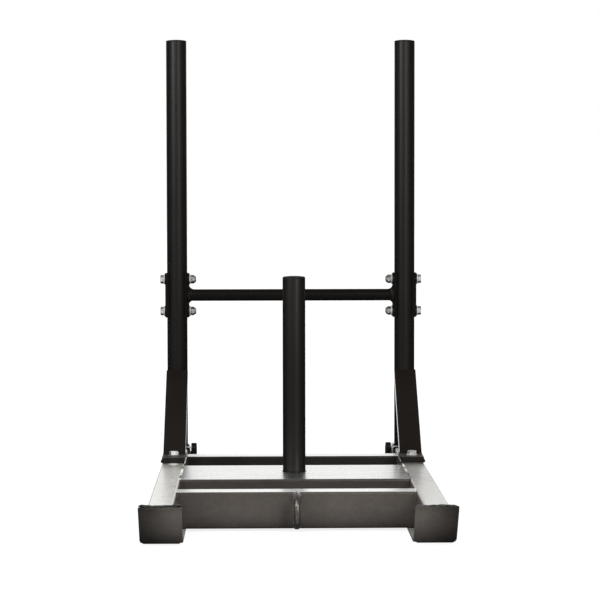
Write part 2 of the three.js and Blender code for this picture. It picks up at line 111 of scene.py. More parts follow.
def place_camera():
    eye = Vector((CAMERA_X, cad_bounds[0][1] - CAMERA_BEFORE_NOSE, CAMERA_HEIGHT))
    ahead = math.cos(CAMERA_PITCH)
    forward = Vector((math.sin(CAMERA_YAW) * ahead, math.cos(CAMERA_YAW) * ahead, -math.sin(CAMERA_PITCH)))
    level = Vector((math.cos(CAMERA_YAW), -math.sin(CAMERA_YAW), 0.0))
    upward = level.cross(forward)
    right = math.cos(CAMERA_ROLL) * level + math.sin(CAMERA_ROLL) * upward
    up = -math.sin(CAMERA_ROLL) * level + math.cos(CAMERA_ROLL) * upward
    data = bpy.data.cameras.new("photo_camera")
    data.sensor_width = SENSOR_WIDTH_MM
    data.lens = FOCAL_PX / PHOTO_WIDTH_PX * SENSOR_WIDTH_MM
    data.clip_end = CAMERA_REACH
    camera = bpy.data.objects.new("photo_camera", data)
    scene.collection.objects.link(camera)
    rotation = Matrix((right, up, -forward)).transposed().to_4x4()
    camera.matrix_world = Matrix.Translation(eye) @ rotation
    scene.camera = camera


place_camera()


# A material's node tree, with a short method for each kind of node
class Graph:
    def __init__(self, name):
        self.material = bpy.data.materials.new(name)
        self.material.use_nodes = True
        self.tree = self.material.node_tree
        self.tree.nodes.clear()
        self.output = self.tree.nodes.new("ShaderNodeOutputMaterial")

    def add(self, kind, inputs=None, **settings):
        node = self.tree.nodes.new(kind)
        for key, value in settings.items():
            setattr(node, key, value)
        for key, value in (inputs or {}).items():
            self.feed(node.inputs[key], value)
        return node

    def feed(self, socket, value):
        if isinstance(value, bpy.types.NodeSocket):
            self.tree.links.new(value, socket)
        elif isinstance(value, bpy.types.Node):
            self.tree.links.new(value.outputs[0], socket)
        else:
            socket.default_value = value

    def coordinates(self, scale=(1, 1, 1)):
        place = self.add("ShaderNodeTexCoord").outputs["Object"]
        return self.add("ShaderNodeMapping", {"Vector": place, "Scale": scale})

    def part_of(self, output, axis):
        vector = self.add("ShaderNodeNewGeometry").outputs[output]
        return self.add("ShaderNodeSeparateXYZ", {0: vector}).outputs[axis]

    # 0 where the surface faces the viewer, 1 where it is seen edge on
    def turned(self):
        return self.add("ShaderNodeLayerWeight", {"Blend": 0.5}).outputs["Facing"]

    def noise(self, vector, scale, detail=3.0, roughness=0.6):
        return self.add(
            "ShaderNodeTexNoise",
            {"Vector": vector, "Scale": scale, "Detail": detail, "Roughness": roughness},
        ).outputs["Fac"]

    def ramp(self, factor, stops):
        node = self.add("ShaderNodeValToRGB", {"Fac": factor})
        elements = node.color_ramp.elements
        while len(elements) < len(stops):
            elements.new(0.5)
        for element, (position, color) in zip(elements, stops):
            element.position = position
            element.color = (*color, 1.0)
        return node.outputs["Color"]

    def grey(self, factor, low, high, start=0.0, end=1.0):
        return self.add(
            "ShaderNodeMapRange",
            {"Value": factor, "From Min": start, "From Max": end, "To Min": low, "To Max": high},
        ).outputs["Result"]

    def curve(self, value, start, end, stops):
        share = self.grey(value, 0.0, 1.0, start, end)
        return self.ramp(share, [(position, (level, level, level)) for position, level in stops])

    def blend(self, factor, first, second, mode="MIX"):
        node = self.add("ShaderNodeMix", data_type="RGBA", blend_type=mode)
        self.feed(node.inputs["Factor"], factor)
        self.feed(node.inputs[6], first if not isinstance(first, tuple) else (*first, 1.0))
        self.feed(node.inputs[7], second if not isinstance(second, tuple) else (*second, 1.0))
        return node.outputs[2]

    def shaded(self, color, shade):
        return self.blend(1.0, color, shade, "MULTIPLY")

    def math(self, operation, first, second=0.0):
        node = self.add("ShaderNodeMath", operation=operation)
        self.feed(node.inputs[0], first)
        self.feed(node.inputs[1], second)
        return node.outputs[0]

    def bump(self, height, strength, distance, normal=None):
        node = self.add("ShaderNodeBump", {"Height": height, "Strength": strength, "Distance": distance})
        if normal is not None:
            self.feed(node.inputs["Normal"], normal)
        return node.outputs["Normal"]

    def rounded(self, radius):
        return self.add("ShaderNodeBevel", {"Radius": radius}, samples=6).outputs["Normal"]

    # 1 on sharp edges, 0 on flat faces
    def edges(self, radius):
        soft = self.rounded(radius)
        true = self.add("ShaderNodeNewGeometry").outputs["Normal"]
        dot = self.add("ShaderNodeVectorMath", {0: soft, 1: true}, operation="DOT_PRODUCT").outputs["Value"]
        bent, flat = 0.72, 0.985
        return self.grey(dot, 1.0, 0.0, bent, flat)

    def finish(self, inputs):
        shader = self.add("ShaderNodeBsdfPrincipled", inputs)
        self.tree.links.new(shader.outputs["BSDF"], self.output.inputs["Surface"])
        return self.material


def tinted(level, tint):
    return tuple(level * share for share in tint)


# Tints, the colour of the painted highlight on the tops' edges, and the colour of the painted reflection of
# the white around that shows in the coat at a flat angle
WHITE = (1.0, 1.0, 1.0)
WARM = (1.0, 0.885, 0.795)
PALE = (1.0, 1.01, 0.985)
RAIL_PALE = (1.0, 0.985, 0.915)
EDGE_HIGHLIGHT = (0.92, 0.92, 0.90)
COAT_TINT = (1.0, 0.83, 0.73)
BRACE_TINT = (1.0, 0.71, 0.52)
COAT_SHINE = (1.0, 0.96, 0.92)
PAINTED_SHEEN_COLOUR = (0.95, 0.94, 0.93)

# Upward parts of a normal between which a side turns into an edge, and an edge into a top
UPPER_EDGE = (0.35, 0.60)
TOP_FACE = (0.84, 0.96)
COAT_TOP_FACE = (0.80, 0.98)
EDGE_HIGHLIGHT_WIDTH = 0.0030


# Mill scale on bare steel: clouds, darker specks and lighter rolling streaks
def mill_scale(g, tone, clouds, specks, streaks):
    dark, middle, light = (tinted(level * tone, WARM) for level in (0.205, 0.245, 0.285))
    speck, streak = (tinted(level * tone, WARM) for level in (0.125, 0.375))
    base = g.ramp(clouds, [(0.28, dark), (0.5, middle), (0.74, light)])
    base = g.blend(g.grey(specks, 0.0, 0.30, 0.35, 0.75), base, speck)
    return g.blend(g.grey(streaks, 0.0, 0.30, 0.45, 0.8), base, streak)


# Painted light on a top: pale where it faces up, with duller clouds and specks in it
def painted_bright_top(g, top, tint, clouds, specks, streaks):
    dull, shiny = top * 0.93, min(0.98, top * 1.06)
    bright = g.ramp(streaks, [(0.35, tinted(dull, tint)), (0.65, tinted(shiny, tint))])
    bright = g.blend(g.grey(clouds, 0.60, 0.0, 0.34, 0.60), bright, tinted(top * 0.78, tint))
    return g.blend(g.grey(specks, 0.0, 0.20, 0.55, 0.80), bright, tinted(top * 0.70, tint))


# Bare steel under clear coat: mill scale on its sides, and painted light on its tops, which are painted pale
# where they face up
def steel_material(
    name,
    grain,  # how far the pattern is squeezed along each axis
    top,  # how pale the painted light on the tops is
    tint=PALE,
    tone=1.0,  # how pale the sides are
    painted_edge_shade=1.0,  # painted shade on the edge between a side and a top
    painted_edge_highlight=0.0,  # how bright the painted highlight on the tops' edges is
    # painted shade on the sides, and painted light and shade on the tops
    painted_shading=None,
    painted_top_shading=None,
    gloss=0.45,  # how metallic the tops are
    coat=0.10,  # how much clear coat the tops have
    coat_rough=0.30,
):
    g = Graph(name)
    cloud_scale = tuple(0.5 + 0.0125 * share for share in grain)
    clouds = g.noise(g.coordinates(cloud_scale), 12.0, detail=4.0)
    specks = g.noise(g.coordinates(), 140.0)
    streaks = g.noise(g.coordinates(grain), 30.0, detail=4.0)
    side = mill_scale(g, tone, clouds, specks, streaks)
    if painted_shading:
        side = g.shaded(side, painted_shading(g))
    level = g.part_of("True Normal", "Z")
    side = g.shaded(side, g.curve(level, *UPPER_EDGE, [(0.0, 1.0), (1.0, painted_edge_shade)]))
    bright = painted_bright_top(g, top, tint, clouds, specks, streaks)
    if painted_edge_highlight:
        bright = g.blend(g.math("MULTIPLY", g.edges(EDGE_HIGHLIGHT_WIDTH), painted_edge_highlight), bright, EDGE_HIGHLIGHT)
    if painted_top_shading:
        bright = g.shaded(bright, painted_top_shading(g))
    upward = g.grey(level, 0.0, 1.0, *TOP_FACE)
    rough = g.math("ADD", g.grey(streaks, 0.30, 0.42), g.grey(clouds, -0.04, 0.06))
    normal = g.bump(specks, 0.12, 0.0002, g.rounded(0.0010))
    normal = g.bump(streaks, 0.10, 0.0002, normal)
    return g.finish(
        {
            "Base Color": g.blend(upward, side, bright),
            "Metallic": g.grey(upward, 0.75, gloss),
            "Roughness": g.math("ADD", rough, g.grey(upward, 0.0, -0.09)),
            "Normal": normal,
            "Coat Weight": g.grey(upward, 0.35, coat),
            "Coat Roughness": coat_rough,
            "Coat IOR": 1.5,
            "Specular IOR Level": 0.30,
        }
    )


# Painted shade on the front crossmember's face: darker towards the floor and to its ends, with a painted
# shadow of the tow loop to its left
def painted_face_shade(g):
    down = g.curve(
        g.part_of("Position", "Z"),
        FRONT_LOW.z,
        FRONT_HIGH.z,
        [(0.02, 0.36), (0.09, 0.52), (0.20, 0.72), (0.36, 0.90), (0.55, 1.0), (0.75, 0.95), (0.95, 0.90)],
    )
    across = g.curve(
        g.part_of("Position", "X"),
        FRONT_LOW.x,
        FRONT_HIGH.x,
        [(0.0, 0.72), (0.14, 0.92), (0.5, 0.92), (0.70, 1.0), (0.86, 1.0), (1.0, 0.78)],
    )
    loop_shadow_width = 0.06
    beside = g.curve(
        g.part_of("Position", "X"),
        -loop_shadow_width,
        0.0,
        [(0.0, 0.0), (0.35, 0.35), (0.60, 1.0), (0.80, 0.9), (1.0, 0.4)],
    )
    low = g.curve(
        g.part_of("Position", "Z"),
        0.0,
        FRONT_HIGH.z,
        [(0.0, 0.32), (0.5, 0.32), (0.8, 0.10), (1.0, 0.0)],
    )
    painted_loop_shadow = g.math("SUBTRACT", 1.0, g.math("MULTIPLY", beside, low))
    return g.shaded(g.shaded(down, across), painted_loop_shadow)


# Painted shade on the nose plates: darker towards the floor and to the outside
def painted_nose_shade(g):
    down = g.curve(
        g.part_of("Position", "Z"),
        NOSE_LOW.z,
        NOSE_HIGH.z,
        [(0.0, 0.32), (0.16, 0.56), (0.33, 0.74), (0.50, 0.88), (0.65, 1.0), (0.85, 1.0), (1.0, 0.75)],
    )
    outwards = g.curve(
        g.math("ABSOLUTE", g.part_of("Position", "X")),
        NOSE_LOW.x,
        NOSE_HIGH.x,
        [(0.0, 1.0), (0.18, 0.97), (0.37, 0.80), (0.55, 0.60), (0.73, 0.40), (0.92, 0.27), (1.0, 0.22)],
    )
    return g.shaded(down, outwards)


# A painted reflection of the post, dark on the deck in front of it, shown at a flat angle only
def painted_post_reflection(g):
    image, core, edge = 0.30, 0.010, 0.024
    start, end = POST_LOW.y + 0.020, POST_LOW.y + 0.030
    steep, flat = 0.78, 0.85
    aside = g.curve(g.math("ABSOLUTE", g.part_of("Position", "X")), core, edge, [(0.0, image), (1.0, 1.0)])
    ahead = g.grey(g.part_of("Position", "Y"), 1.0, 0.0, start, end)
    shown = g.math("MULTIPLY", ahead, g.grey(g.turned(), 0.0, 1.0, steep, flat))
    return g.blend(shown, WHITE, aside)


# A painted glint on the left rail, in front of the foot plate
def painted_glint_spot(g):
    squeeze, aside, before, inner, outer = 0.45, 0.002, 0.016, 0.004, 0.013
    place = g.add("ShaderNodeNewGeometry").outputs["Position"]
    spot = g.add("ShaderNodeMapping", {"Vector": place, "Scale": (1.0, squeeze, 1.0)})
    centre = (-RAIL_X + aside, squeeze * (FOOT_LOW.y - before), RAIL_TOP)
    away = g.add("ShaderNodeVectorMath", {0: spot, 1: centre}, operation="DISTANCE").outputs["Value"]
    return g.curve(away, inner, outer, [(0.0, 1.0), (1.0, 0.0)])


# Painted shade on the rails' tops, darker towards the foot plates, and painted light behind them; the right
# is painted darker
def painted_rail_light(g):
    left_near = [(0.0, 0.95), (0.15, 1.0), (0.60, 1.0), (0.70, 0.93)]
    left_far = [(0.78, 0.79), (0.86, 0.61), (0.96, 0.46), (1.0, 0.35)]
    right_near = [(0.0, 0.66), (0.25, 0.57), (0.45, 0.51)]
    right_far = [(0.76, 0.55), (0.86, 0.41), (0.96, 0.20), (1.0, 0.13)]
    bright, painted_glint = 1.25, 1.8
    start, end = FOOT_HIGH.y + 0.02, FOOT_HIGH.y + 0.06
    along = g.part_of("Position", "Y")
    left = g.curve(along, FRONT_LOW.y, FOOT_LOW.y, left_near + left_far)
    right = g.curve(along, FRONT_LOW.y, FOOT_LOW.y, right_near + right_far)
    painted_shading = g.blend(g.grey(g.part_of("Position", "X"), 0.0, 1.0, -RAIL_X, RAIL_X), left, right)
    painted_shading = g.blend(g.grey(along, 0.0, 1.0, start, end), painted_shading, tinted(bright, WHITE))
    return g.blend(painted_glint_spot(g), painted_shading, tinted(painted_glint, WHITE))


# Round bar of the tow loop: bright, with painted shade where it turns away
def loop_material(name):
    dull, bright, side = 0.22, 0.38, 0.22
    g = Graph(name)
    marks = g.noise(g.coordinates((1, 1, 0.4)), 160.0)
    base = g.ramp(marks, [(0.35, tinted(dull, WARM)), (0.65, tinted(bright, WARM))])
    base = g.shaded(base, g.curve(g.turned(), 0.05, 0.40, [(0.0, 1.0), (1.0, side)]))
    return g.finish(
        {
            "Base Color": base,
            "Metallic": 0.7,
            "Roughness": g.grey(marks, 0.20, 0.34),
            "Normal": g.bump(marks, 0.15, 0.0002),
        }
    )


# Satin black powder coat: fine orange peel, slight cloudiness, a shine where it faces the viewer; painted
# light can make its tops paler, and a painted sheen shows the white around at a flat angle
def coat_material(
    name,
    dark=0.0072,
    tint=COAT_TINT,
    shine=0.60,
    rise=None,  # how the shine changes from the floor up to the uprights' tops
    painted_top_paleness=1.0,  # how many times paler the tops are painted than the sides, as painted light
    painted_sheen=None,  # how flat the angle is at which the painted reflection of the white around starts and ends to show
):
    g = Graph(name)
    place = g.coordinates()
    peel = g.noise(place, 620.0, detail=2.0, roughness=0.5)
    clouds = g.noise(place, 14.0)
    turned = g.turned()
    base = g.ramp(clouds, [(0.3, tinted(dark * 0.9, tint)), (0.7, tinted(dark * 1.1, tint))])
    level = g.part_of("True Normal", "Z")
    base = g.shaded(base, g.curve(level, *COAT_TOP_FACE, [(0.0, 1.0 / painted_top_paleness), (1.0, 1.0)]))
    if painted_sheen:
        base = g.blend(g.grey(turned, 0.0, 1.0, *painted_sheen), base, PAINTED_SHEEN_COLOUR)
    dim, facing, aside = 0.03, 0.06, 0.42
    gleam = g.grey(turned, shine, dim, facing, aside)
    if rise:
        height = g.part_of("Position", "Z")
        gleam = g.math("MULTIPLY", gleam, g.curve(height, 0.0, UPRIGHT_HIGH.z, rise))
    return g.finish(
        {
            "Base Color": base,
            "Metallic": 0.0,
            "Roughness": g.math("ADD", g.grey(peel, 0.40, 0.46), g.grey(clouds, -0.02, 0.03)),
            "Normal": g.bump(peel, 0.10, 0.00025, g.rounded(0.0008)),
            "Specular IOR Level": gleam,
            "Specular Tint": (*COAT_SHINE, 1.0),
        }
    )


# Zinc plate: crystalline mottling and light tool marks, with painted shade where it faces up, down or to the
# left
def zinc_material(
    name,
    level=0.90,
    steep=0.10,  # share of the level that is left under the painted shade where it faces down
    left=0.22,  # share of the level that is left under the painted shade where it faces to the left
    metal=0.35,
    uneven=0.62,  # share of the level that the mottling falls to
):
    g = Graph(name)
    mottle = g.noise(g.coordinates(), 260.0)
    marks = g.noise(g.coordinates((1, 1, 6)), 420.0, detail=2.0)
    base = g.ramp(mottle, [(0.36, tinted(level * uneven, PALE)), (0.62, tinted(level, PALE))])
    base = g.blend(g.grey(marks, 0.0, 0.25, 0.5, 0.9), base, tinted(level, PALE))
    down = [(0.0, steep), (0.25, steep), (0.38, 0.6), (0.50, 1.0)]
    up = [(0.60, 0.9), (0.80, steep + 0.15), (1.0, steep + 0.25)]
    facing = g.curve(g.part_of("Normal", "Z"), -1.0, 1.0, down + up)
    aside = g.curve(g.part_of("Normal", "X"), -0.60, -0.20, [(0.0, left), (1.0, 1.0)])
    return g.finish(
        {
            "Base Color": g.shaded(g.shaded(base, facing), aside),
            "Metallic": metal,
            "Roughness": g.grey(mottle, 0.20, 0.36),
            "Normal": g.bump(marks, 0.14, 0.0001, g.rounded(0.0004)),
        }
    )


# Moulded black plastic: fine spark-eroded grain
def plastic_material(name):
    g = Graph(name)
    place = g.coordinates()
    cells = g.add("ShaderNodeTexVoronoi", {"Vector": place, "Scale": 900.0}).outputs["Distance"]
    clouds = g.noise(place, 40.0)
    return g.finish(
        {
            "Base Color": g.ramp(clouds, [(0.3, (0.008, 0.008, 0.008)), (0.7, (0.013, 0.013, 0.0125))]),
            "Metallic": 0.0,
            "Roughness": g.grey(cells, 0.42, 0.6),
            "Normal": g.bump(cells, 0.2, 0.0002, g.rounded(0.0007)),
            "Specular IOR Level": 0.15,
        }
    )


# Welds left bare on the base: dull and bright patches with a little heat tint between them
def weld_material(name, dull, bright, stretch=1.0):
    g = Graph(name)
    heat = g.noise(g.coordinates((stretch, stretch, stretch)), 150.0, detail=2.0, roughness=0.5)
    grit = g.noise(g.coordinates(), 900.0, detail=2.0, roughness=0.5)
    patches = [
        (0.36, tinted(dull, (1.0, 0.97, 0.97))),
        (0.50, tinted((dull + bright) / 2, (1.0, 0.94, 0.86))),
        (0.62, tinted(bright, (1.0, 0.98, 0.95))),
    ]
    return g.finish(
        {
            "Base Color": g.ramp(heat, patches),
            "Metallic": 0.3,
            "Roughness": g.grey(grit, 0.28, 0.45),
            "Normal": g.bump(grit, 0.3, 0.0002),
        }
    )


# The finishes; steel's grain runs along the rails or across the sled
LENGTHWISE = (40, 5, 40)
CROSSWISE = (3, 40, 40)
RAIL_STEEL = steel_material(
    "rail_steel",
    LENGTHWISE,
    top=0.79,
    tint=RAIL_PALE,
    painted_edge_highlight=0.6,
    painted_top_shading=painted_rail_light,
    gloss=0.22,
    coat=0.6,
    coat_rough=0.36,
)
DECK_STEEL = steel_material(
    "deck_steel",
    CROSSWISE,
    top=0.84,
    tone=0.75,
    painted_edge_shade=0.55,
    painted_top_shading=painted_post_reflection,
    gloss=0.90,
    coat=0.8,
)
FRONT_STEEL = steel_material("front_steel", CROSSWISE, top=0.90, tone=1.22, painted_edge_shade=0.55, painted_shading=painted_face_shade)
# The rear crossmember's sides are painted dark, as painted shade
REAR_STEEL_IN_PAINTED_SHADE = steel_material("rear_steel_in_painted_shade", CROSSWISE, top=0.90, tone=0.25)
NOSE_STEEL = steel_material("nose_steel", CROSSWISE, top=0.08, tone=1.38, painted_edge_shade=0.7, painted_shading=painted_nose_shade)
LOOP_STEEL = loop_material("tow_loop_steel")
COAT = coat_material("black_powder_coat")
BRACE_COAT = coat_material("black_powder_coat_on_braces", dark=0.0098, tint=BRACE_TINT, painted_sheen=(0.90, 0.932))
SHOE_COAT = coat_material("black_powder_coat_on_shoes", painted_sheen=(0.84, 0.90))
UPRIGHT_COAT = coat_material(
    "black_powder_coat_on_uprights",
    rise=[(0.0, 0.66), (0.28, 0.66), (0.60, 0.76), (1.0, 1.06)],
)
POST_COAT = coat_material(
    "black_powder_coat_on_post",
    rise=[(0.08, 1.65), (0.11, 1.50), (0.16, 1.22), (0.24, 0.92), (0.32, 0.95), (0.46, 1.28)],
)
DARK_COAT = coat_material("black_powder_coat_on_bars", dark=0.0050, shine=0.16)
# The foot plates' coat is painted paler than the rest as painted light, and its tops paler still
FOOT_COAT = coat_material("black_powder_coat_on_feet", dark=0.060, shine=0.2, painted_top_paleness=3.6)
COAT_WELD = coat_material("black_powder_coat_on_weld", dark=0.0075, shine=0.35)
ZINC = zinc_material("zinc_plate", uneven=0.45)
NUT_ZINC = zinc_material("zinc_plate_on_nuts", level=0.62, left=0.5, uneven=0.22)
WASHER_ZINC = zinc_material("zinc_plate_on_washers", level=0.85, steep=0.6, left=0.9, metal=0.1)
# The two foot bolts' zinc differ in painted light: the left painted brighter with deeper painted shade on its
# left faces, the right darker
LEFT_FOOT_ZINC = zinc_material(
    "zinc_plate_on_left_foot", level=1.0, steep=0.45, left=0.16, metal=0.05, uneven=0.9
)
RIGHT_FOOT_ZINC = zinc_material(
    "zinc_plate_on_right_foot", level=0.85, steep=0.45, left=0.5, metal=0.05, uneven=0.3
)
STUD_ZINC = zinc_material("zinc_plate_on_studs", level=1.0, steep=0.9, left=1.0, metal=0.0, uneven=0.9)
# The left foot washer's zinc is painted dark, as painted shade
ZINC_IN_PAINTED_SHADE = zinc_material("zinc_plate_in_painted_shade", level=0.38, steep=0.35, left=0.6)
PLASTIC = plastic_material("moulded_plastic")
WELD = weld_material("bare_weld", dull=0.04, bright=0.60)
SEAM_WELD = weld_material("bare_weld_on_seams", dull=0.02, bright=0.98, stretch=0.15)
DARK_WELD = weld_material("scaled_weld", dull=0.035, bright=0.12)
NOSE_WELD = weld_material("scaled_weld_on_noses", dull=0.008, bright=0.07, stretch=0.5)

# Finish of the nodes whose names start so; the longest name that fits wins, and the rest are zinc
MATERIALS = {
    "front_crossmember": FRONT_STEEL,
    "rear_crossmember": REAR_STEEL_IN_PAINTED_SHADE,
    "deck": DECK_STEEL,
    "weight_post": POST_COAT,
    "post_cap": POST_COAT,
    "crossbar": DARK_COAT,
    "rail_plug": PLASTIC,
    "rail": RAIL_STEEL,
    "sole": RAIL_STEEL,
    "nose_plate": NOSE_STEEL,
    "upright_cap": COAT,
    "lock_knob": PLASTIC,
    "shoe": SHOE_COAT,
    "upright": UPRIGHT_COAT,
    "foot_plate": FOOT_COAT,
    "brace": BRACE_COAT,
    "clamp_outer": COAT,
    "clamp_inner": COAT,
    "clamp_washer": WASHER_ZINC,
    "foot_washer": ZINC_IN_PAINTED_SHADE,
    "foot_bolt": LEFT_FOOT_ZINC,
    "foot_bolt_right": RIGHT_FOOT_ZINC,
    "foot_washer_right": WASHER_ZINC,
    "lock_stud": STUD_ZINC,
}

# Nodes with round faces, shaded smooth up to this angle
ROUND = ("weight_post", "post_cap", "crossbar", "upright", "clamp", "foot_washer", "lock", "tow_loop")
ROUND_ANGLE = math.radians(32)


def finish_of(name):
    for key in sorted(MATERIALS, key=len, reverse=True):
        if name == key or name.startswith(key + "_"):
            return MATERIALS[key]
    return ZINC


def smooth(mesh, angle):
    mesh.polygons.foreach_set("use_smooth", [True] * len(mesh.polygons))
    mesh.set_sharp_from_angle(angle=angle)


def dress_nodes():
    for name, item in nodes.items():
        if not item.material_slots:
            item.data.materials.append(finish_of(name))
        for slot in item.material_slots:
            slot.material = finish_of(name)
        if name.startswith(ROUND):
            smooth(item.data, ROUND_ANGLE)


dress_nodes()


# A new mesh that rides on a body, with the material of the pieces that it dresses
def piece(name, vertices, faces, material, slot_name, body="sled", angle=40):
    mesh = bpy.data.meshes.new(name)
    mesh.from_pydata([tuple(v) for v in vertices], [], faces)
    mesh.validate()
    bm = bmesh.new()
    bm.from_mesh(mesh)
    bmesh.ops.recalc_face_normals(bm, faces=bm.faces)
    bm.to_mesh(mesh)
    bm.free()
    smooth(mesh, math.radians(angle))
    mesh.materials.append(material)
    item = bpy.data.objects.new(name, mesh)
    scene.collection.objects.link(item)
    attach(item, body)
    return item


# Points at even steps along a line of straight stretches
def resample(points, step, closed):
    points = [Vector(p) for p in points]
    if closed:
        points = points + [points[0]]
    lengths = [0.0]
    for first, second in zip(points, points[1:]):
        lengths.append(lengths[-1] + (second - first).length)
    total = lengths[-1]
    count = max(4, int(round(total / step)))
    result = []
    index = 0
    for k in range(count + (0 if closed else 1)):
        want = total * k / count
        while index < len(lengths) - 2 and lengths[index + 1] < want:
            index += 1
        span = lengths[index + 1] - lengths[index]
        share = 0.0 if span == 0 else (want - lengths[index]) / span
        result.append(points[index].lerp(points[index + 1], share))
    return result


# Faces between rings of vertices that follow each other
def tube_faces(count, sides, closed=False, capped=True):
    faces = []
    for k in range(count if closed else count - 1):
        here, there = k * sides, (k + 1) % count * sides
        for s in range(sides):
            after = (s + 1) % sides
            faces.append((here + s, here + after, there + after, there + s))
    if capped:
        faces.append(tuple(reversed(range(sides))))
        faces.append(tuple(range((count - 1) * sides, count * sides)))
    return faces


def circle(centre, radius, side, other, count):
    angles = [2 * math.pi * k / count for k in range(count)]
    return [centre + radius * (math.cos(a) * side + math.sin(a) * other) for a in angles]


def ring(centre, radius, axis, count):
    axis = Vector(axis)
    side = Vector((1, 0, 0)) if abs(axis.z) > 0.9 else axis.orthogonal().normalized()
    return circle(Vector(centre), radius, side, axis.cross(side), count)


# Sizes of a bead as shares of its radius, and its rings in one ripple
BEAD_STEP = 0.55
BEAD_TAPER = 1.6
BEAD_END = 0.12
BEAD_SIDES = 8
RIPPLE_RINGS = 3


# A weld bead: a rippled, slightly uneven worm of metal laid along a seam
def bead(name, points, radius, seed, closed=False, material=DARK_WELD, slot_name="base_steel", lump=0.08):
    rng = random.Random(seed)
    step = radius * BEAD_STEP
    path = resample(points, step, closed)
    count = len(path)
    vertices = []
    wander = 0.0
    for k, point in enumerate(path):
        before = path[k - 1] if (k > 0 or closed) else path[0]
        after = path[(k + 1) % count] if (k < count - 1 or closed) else path[-1]
        along = (after - before).normalized()
        across = along.cross(Vector((0.31, 0.22, 0.92)))
        if across.length < 0.2:
            across = along.cross(Vector((0.9, 0.1, 0.3)))
        across.normalize()
        wander = 0.7 * wander + 0.3 * rng.uniform(-1.0, 1.0)
        phase = (k % RIPPLE_RINGS) / RIPPLE_RINGS
        size = radius * (0.84 + 0.16 * math.sqrt(1.0 - phase) + lump * wander)
        if not closed:
            from_end = min(k, count - 1 - k) * step
            size *= math.sqrt(max(BEAD_END, min(1.0, from_end / (BEAD_TAPER * radius))))
        vertices += circle(point, size, across, along.cross(across), BEAD_SIDES)
    faces = tube_faces(count, BEAD_SIDES, closed, capped=not closed)
    piece(name, vertices, faces, material, slot_name, angle=60)


# The crossmembers' front and rear corners with the rails
def crossmember_welds():
    off_rail, off_face, from_corner = 0.0006, 0.0004, 0.005
    for label, low, high in (("front", FRONT_LOW, FRONT_HIGH), ("rear", REAR_LOW, REAR_HIGH)):
        for hand, sign in SIDES:
            x = sign * (RAIL_INNER_X - off_rail)
            for face, y in (("nose_side", low.y - off_face), ("tail_side", high.y + off_face)):
                bead(
                    f"weld_{label}_crossmember_{face}_{hand}",
                    [(x, y, low.z + from_corner), (x, y, high.z - from_corner)],
                    radius=0.0024,
                    seed=f"{label}{hand}{face}",
                )


# The ends of the deck's folded lips
def lip_welds(hand, sign):
    off_rail, off_face, above_edge, below_bend = 0.0005, 0.0003, 0.003, 0.010
    x = sign * (RAIL_INNER_X - off_rail)
    for face, y in (("nose_side", DECK_LOW.y - off_face), ("tail_side", DECK_HIGH.y + off_face)):
        bead(
            f"weld_deck_{face}_{hand}",
            [(x, y, DECK_LOW.z + above_edge), (x, y, DECK_HIGH.z - below_bend)],
            radius=0.0021,
            seed=f"deck{hand}{face}",
        )


# Seams on top, in the groove of the rail's rounded edge
def top_seams(hand, sign):
    into_groove, below_top, from_end = 0.0006, 0.0008, 0.004
    x, z = sign * (RAIL_INNER_X + into_groove), RAIL_TOP - below_top
    for label, low, high, radius in (
        ("deck", DECK_LOW, DECK_HIGH, 0.0025),
        ("front", FRONT_LOW, FRONT_HIGH, 0.0017),
        ("rear", REAR_LOW, REAR_HIGH, 0.0017),
    ):
        bead(
            f"weld_{label}_side_{hand}",
            [(x, low.y + from_end, z), (x, high.y - from_end, z)],
            radius,
            seed=f"side{label}{hand}",
            material=SEAM_WELD,
            lump=0.5,
        )


# Round the tow loop's two legs
def tow_loop_welds():
    off_face, off_bar = 0.0008, 0.0006
    for label, z, radius, material in (
        ("upper", LOOP_HIGH.z - LOOP_R, 0.0018, WELD),
        ("lower", LOOP_LOW.z + LOOP_R, 0.0027, DARK_WELD),
    ):
        bead(
            f"weld_tow_loop_{label}",
            ring((0, FRONT_LOW.y - off_face, z), LOOP_R + off_bar, (0, 1, 0), count=40),
            radius,
            seed=f"tow{label}",
            closed=True,
            material=material,
        )


# Stitches between the soles and the rails, left out where a crossmember is in the way
def sole_welds():
    off_rail, off_sole = 0.0006, 0.0008
    stitches, first, spacing, length, room = 7, -0.425, 0.142, 0.042, 0.045
    crossmembers = ((FRONT_LOW, FRONT_HIGH), (REAR_LOW, REAR_HIGH))
    z = RAIL_LOW.z + off_sole
    for hand, sign in SIDES:
        for edge, offset in (("outer", RAIL_HALF + off_rail), ("inner", -RAIL_HALF - off_rail)):
            x = sign * (RAIL_X + offset)
            for k in range(stitches):
                y = first + spacing * k
                crossed = any(low.y - room < y < high.y for low, high in crossmembers)
                if edge == "inner" and crossed:
                    continue
                bead(
                    f"weld_sole_{edge}_{hand}_{k}",
                    [(x, y, z), (x, y + length, z)],
                    radius=0.0022,
                    seed=f"sole{hand}{edge}{k}",
                )


